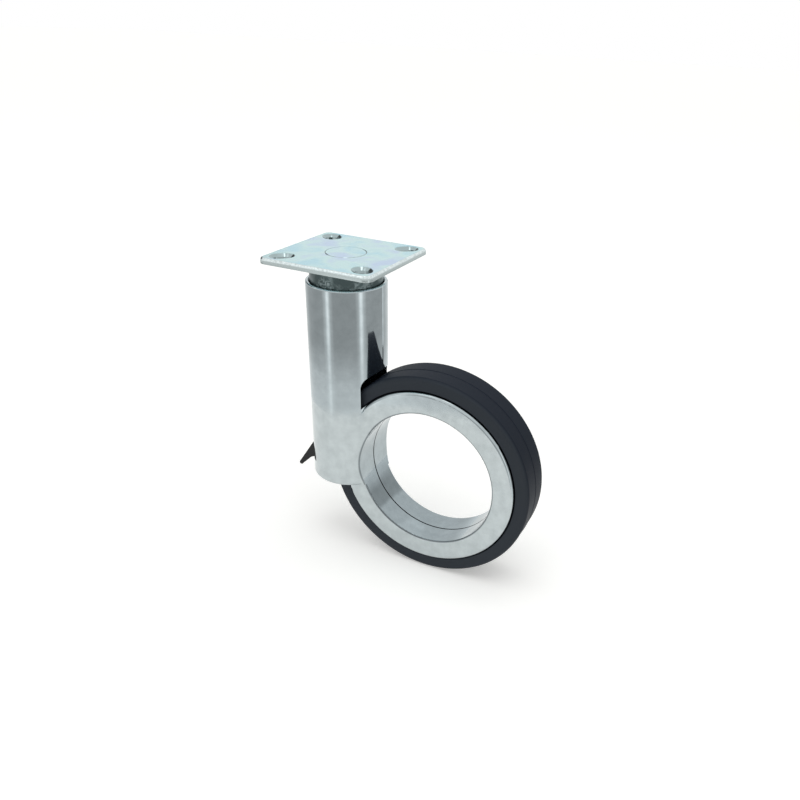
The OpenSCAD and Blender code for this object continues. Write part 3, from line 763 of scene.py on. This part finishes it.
class CASTOR_OT_solids(Operator):
    """Gives every solid its finish"""
    bl_idname = "castor.solids"
    bl_label = "Solids"

    def execute(self, context):
        paints = context.scene.castor_paint
        plate, tyre = context.scene.castor_plate, context.scene.castor_tyre
        finishes = {
            "chrome": chromed_zinc(paints, context.scene.castor_ring),
            "zinc_plate": zinc_plate(paints, plate),
            "dark_steel": galvanised_steel(paints),
            "tyre": tyre_rubber(paints, tyre),
            # Dull dark plastic, which shows only through gaps
            "rim_plastic": moulded_black("rim_plastic", paints.rim, roughness=0.5, specular=0.5,
                                         grain_mm=0.4),
            "black_plastic": lever_nylon(paints),
            # Milky satin acetal, bright ground steel and yellow brass
            "white_plastic": plain("white_acetal", paints.acetal, metallic=0.0, roughness=0.4),
            "steel": plain("ground_steel", paints.steel, metallic=1.0, roughness=0.25),
            "brass": plain("pressed_brass", paints.brass, metallic=1.0, roughness=0.3),
        }
        for part in frame["record"]["subparts"]:
            dress(frame["nodes"][part["node"]], finishes[part["material_slot"]])
        return {"FINISHED"}


class CASTOR_OT_stage(Operator):
    """Adds the floor, the soft light and the camera"""
    bl_idname = "castor.stage"
    bl_label = "Stage"

    def execute(self, context):
        stage = context.scene.castor_stage
        ground = CAD_BOX[0][2]
        to_camera = Matrix.Rotation(stage.yaw, 3, "Z").inverted() @ -Y
        self.add_floor(stage, ground)
        self.add_cards(stage, ground, to_camera)
        self.add_world(context, stage)
        self.add_softbox(stage, to_camera)
        self.add_camera(context, stage)
        context.scene.view_settings.view_transform = "Standard"
        return {"FINISHED"}

    def seen(self, tree):
        """1 on the rays that show the stage itself, straight or in metal and glass, and 0 on its light."""
        path = add(tree, "ShaderNodeLightPath").outputs
        mirrored = add(tree, "ShaderNodeMath", {0: path["Is Camera Ray"], 1: path["Is Glossy Ray"]},
                       operation="MAXIMUM")
        return add(tree, "ShaderNodeMath", {0: mirrored, 1: path["Is Transmission Ray"]},
                   operation="MAXIMUM")

    def add_floor(self, stage, ground):
        """A wide white sheet under the wheel."""
        fresh()
        bpy.ops.mesh.primitive_plane_add(size=stage.floor_w, location=(0, 0, ground))
        floor = finish_primitive("floor")
        bpy.ops.mesh.subdivide(number_cuts=3)
        fresh()
        dress(floor, self.floor_material(stage))

    def floor_material(self, stage):
        """White paper that keeps the castor's shadow and shows as white further off."""
        material, tree = started("white_paper")
        if tree:
            place = add(tree, "ShaderNodeTexCoord").outputs["Object"]
            away = add(tree, "ShaderNodeVectorMath", {0: place}, operation="LENGTH")
            lift = add(tree, "ShaderNodeMapRange", {
                "Value": away, "From Min": stage.lift_from, "From Max": stage.lift_to,
                "To Min": stage.lift_near, "To Max": stage.lift_far})
            shown = add(tree, "ShaderNodeMath", {0: lift, 1: self.seen(tree)}, operation="MULTIPLY")
            coat(tree, {"Base Color": stage.sheet, "Roughness": 0.9, "Emission Color": stage.sheet,
                        "Emission Strength": shown})
        return material

    def add_cards(self, stage, ground, to_camera):
        """A low surround on the sheet, and a dome whose open foot lets the white studio show."""
        inside, outside = stage.surround_r, stage.surround_r + MM
        top = ground + stage.surround_h
        self.add_card("surround", [(inside, ground), (outside, ground), (outside, top), (inside, top)],
                      self.surround_material(stage, ground, to_camera))
        inner = arc((0, 0), stage.dome_r, DOME_FOOT, 90, count=16)
        outer = arc((0, 0), stage.dome_r + MM, 90, DOME_FOOT, count=16)
        self.add_card("dome", [*inner, *outer], self.dome_material(stage, to_camera))

    def add_card(self, name, profile, material):
        """A card turned about the swivel axis that throws no shadow and shows only in metal."""
        card = turned(name, profile, Vector(), Z, steps=96)
        fresh()
        dress(card, material)
        card.visible_camera = card.visible_diffuse = card.visible_shadow = False

    def shine_cards(self, tree, stage, level):
        """Ends the tree of a card that only gives light."""
        coat(tree, {"Base Color": BLACK, "Specular IOR Level": 0.0, "Emission Color": stage.surround_tint,
                    "Emission Strength": level})

    def dome_material(self, stage, to_camera):
        """A bright top with two lamps in it, over a foot that is dark at the left behind the castor."""
        material, tree = started("dome_cards")
        to_left = to_camera.cross(Z)
        if tree:
            place = add(tree, "ShaderNodeTexCoord").outputs["Object"]
            height = add(tree, "ShaderNodeSeparateXYZ", {"Vector": place}).outputs["Z"]
            across = add(tree, "ShaderNodeVectorMath", {0: place, 1: to_left / stage.dome_r},
                         operation="DOT_PRODUCT")
            foot = add(tree, "ShaderNodeMapRange", {
                "Value": across, "From Min": DOME_LEFT[0], "From Max": DOME_LEFT[1],
                "To Min": stage.dome_back, "To Max": stage.dome_side})
            towards = add(tree, "ShaderNodeVectorMath", {0: place, 1: to_camera / stage.dome_r},
                          operation="DOT_PRODUCT")
            front = add(tree, "ShaderNodeMapRange", {
                "Value": towards, "From Min": DOME_FRONT[0], "From Max": DOME_FRONT[1]})
            around = add(tree, "ShaderNodeMix", {"Factor": front, "A": foot, "B": stage.dome_back},
                         data_type="FLOAT")
            top = add(tree, "ShaderNodeMapRange", {
                "Value": height, "From Min": DOME_TOP[0] * stage.dome_r,
                "From Max": DOME_TOP[1] * stage.dome_r})
            level = add(tree, "ShaderNodeMix", {"Factor": top, "A": around, "B": stage.dome_level},
                        data_type="FLOAT")
            for near, left, radius, lamp_level in (
                    (stage.spot_near, 0, stage.spot_r, stage.spot_level),
                    (stage.side_near, stage.side_left, stage.side_r, stage.side_level)):
                lamp = to_camera * near + to_left * left
                lamp.z = math.sqrt(stage.dome_r ** 2 - lamp.length_squared)
                away = add(tree, "ShaderNodeVectorMath", {0: place, 1: lamp}, operation="DISTANCE")
                spot = add(tree, "ShaderNodeMapRange", {"Value": away, "From Min": radius,
                                                        "From Max": radius / 2})
                level = add(tree, "ShaderNodeMix", {"Factor": spot, "A": level, "B": lamp_level},
                            data_type="FLOAT")
            self.shine_cards(tree, stage, level)
        return material

    def surround_material(self, stage, ground, to_camera):
        """Grey cards with a window on either side of the camera, a pale foot and a pale head."""
        material, tree = started("lit_cards")
        foot_top, head_foot = ground + stage.foot_h, ground + stage.head_h
        stops = [((1 + math.cos(math.radians(degrees))) / 2, (share, share, share, 1))
                 for degrees, share in WINDOWS]
        if tree:
            place = add(tree, "ShaderNodeTexCoord").outputs["Object"]
            height = add(tree, "ShaderNodeSeparateXYZ", {"Vector": place}).outputs["Z"]
            towards = add(tree, "ShaderNodeVectorMath", {0: place, 1: to_camera / stage.surround_r},
                          operation="DOT_PRODUCT")
            turn = add(tree, "ShaderNodeMapRange", {"Value": towards, "From Min": -1.0})
            windows = add(tree, "ShaderNodeValToRGB", {"Fac": turn}, stops=stops)
            windows.color_ramp.interpolation = "EASE"
            rise = add(tree, "ShaderNodeMapRange", {
                "Value": height, "From Min": foot_top, "From Max": head_foot, "To Min": stage.window_foot})
            share = add(tree, "ShaderNodeMath", {0: windows, 1: rise}, operation="MULTIPLY")
            upper = add(tree, "ShaderNodeMapRange", {"Value": share, "To Min": stage.grey_level,
                                                     "To Max": stage.window_level})
            pale = add(tree, "ShaderNodeMapRange", {
                "Value": height, "From Min": ground, "From Max": foot_top,
                "To Min": stage.foot_level, "To Max": stage.shin_level})
            glow = add(tree, "ShaderNodeMath", {0: windows, 1: stage.foot_glow, 2: pale},
                       operation="MULTIPLY_ADD")
            foot = add(tree, "ShaderNodeMapRange", {
                "Value": height, "From Min": ground + FOOT_BLEND[0] * stage.foot_h,
                "From Max": ground + FOOT_BLEND[1] * stage.foot_h})
            lower = add(tree, "ShaderNodeMix", {"Factor": foot, "A": glow, "B": upper}, data_type="FLOAT")
            head = add(tree, "ShaderNodeMapRange", {
                "Value": height, "From Min": ground + HEAD_BLEND[0] * stage.head_h,
                "From Max": ground + HEAD_BLEND[1] * stage.head_h})
            level = add(tree, "ShaderNodeMix", {"Factor": head, "A": lower, "B": stage.head_level},
                        data_type="FLOAT")
            self.shine_cards(tree, stage, level)
        return material

    def add_world(self, context, stage):
        """An even sky that is brighter overhead, and white where it is seen."""
        world = bpy.data.worlds.new("studio")
        context.scene.world = world
        world.use_nodes = True
        tree = world.node_tree
        tree.nodes.clear()
        place = add(tree, "ShaderNodeTexCoord").outputs["Generated"]
        height = add(tree, "ShaderNodeSeparateXYZ", {"Vector": place}).outputs["Z"]
        light = add(tree, "ShaderNodeMapRange", {"Value": height, "To Min": stage.sky_low,
                                                 "To Max": stage.sky_high})
        level = add(tree, "ShaderNodeMix", {"Factor": self.seen(tree), "A": light, "B": 1.0},
                    data_type="FLOAT")
        sky = add(tree, "ShaderNodeBackground", {"Strength": level, "Color": WHITE})
        add(tree, "ShaderNodeOutputWorld", {"Surface": sky})

    def add_softbox(self, stage, to_camera):
        """A square lamp over the castor whose face shines at a level, where 1 is as bright as lit white."""
        fresh()
        place = to_camera * stage.softbox_near + Z * stage.softbox_h
        bpy.ops.object.light_add(type="AREA", location=place)
        lamp = bpy.context.object
        lamp.name = "softbox"
        lamp.data.shape = "SQUARE"
        lamp.data.size = stage.softbox_w
        lamp.data.energy = stage.softbox_level * math.pi * stage.softbox_w ** 2
        lamp.rotation_euler = place.to_track_quat("Z", "Y").to_euler()
        lamp.visible_camera = lamp.visible_glossy = False

    def add_camera(self, context, stage):
        """The camera at the photograph's viewing angle."""
        fresh()
        bpy.ops.object.camera_add()
        camera = bpy.context.object
        camera.name = "camera"
        camera.data.lens = stage.lens
        camera.data.sensor_width = SENSOR_W
        camera.data.shift_x, camera.data.shift_y = stage.shift
        camera.data.clip_start = stage.clip_near
        level_ahead = X * math.sin(stage.yaw) + Y * math.cos(stage.yaw)
        ahead = level_ahead * math.cos(stage.pitch) - Z * math.sin(stage.pitch)
        right = ahead.cross(Z).normalized()
        up = right.cross(ahead)
        rolled_right = right * math.cos(stage.roll) + up * math.sin(stage.roll)
        rolled_up = rolled_right.cross(ahead)
        turn = Matrix((rolled_right, rolled_up, -ahead)).transposed()
        camera.matrix_world = Matrix.Translation(stage.camera_place) @ turn.to_4x4()
        context.scene.camera = camera


class CASTOR_PT_panel(Panel):
    """Lists the castor's pieces in the sidebar"""
    bl_idname = "CASTOR_PT_panel"
    bl_label = "Castor"
    bl_space_type = "VIEW_3D"
    bl_region_type = "UI"
    bl_category = "Castor"

    def draw(self, context):
        for operator in OPERATORS:
            self.layout.operator(operator.bl_idname)


GROUPS = {"castor_plate": CastorPlate, "castor_tyre": CastorTyre, "castor_lever": CastorLever,
          "castor_ring": CastorRing, "castor_paint": CastorPaint, "castor_stage": CastorStage}
OPERATORS = (CASTOR_OT_solids, CASTOR_OT_plate, CASTOR_OT_tyre, CASTOR_OT_lever, CASTOR_OT_stage)


def register():
    for kind in (*GROUPS.values(), *OPERATORS, CASTOR_PT_panel):
        bpy.utils.register_class(kind)
    for name, group in GROUPS.items():
        setattr(bpy.types.Scene, name, PointerProperty(type=group))


def unregister():
    for name in GROUPS:
        delattr(bpy.types.Scene, name)
    for kind in reversed((*GROUPS.values(), *OPERATORS, CASTOR_PT_panel)):
        bpy.utils.unregister_class(kind)


def main():
    register()
    bpy.ops.castor.solids()
    bpy.ops.castor.plate()
    bpy.ops.castor.tyre()
    bpy.ops.castor.lever()
    bpy.ops.castor.stage()


if __name__ == "__main__":
    main()
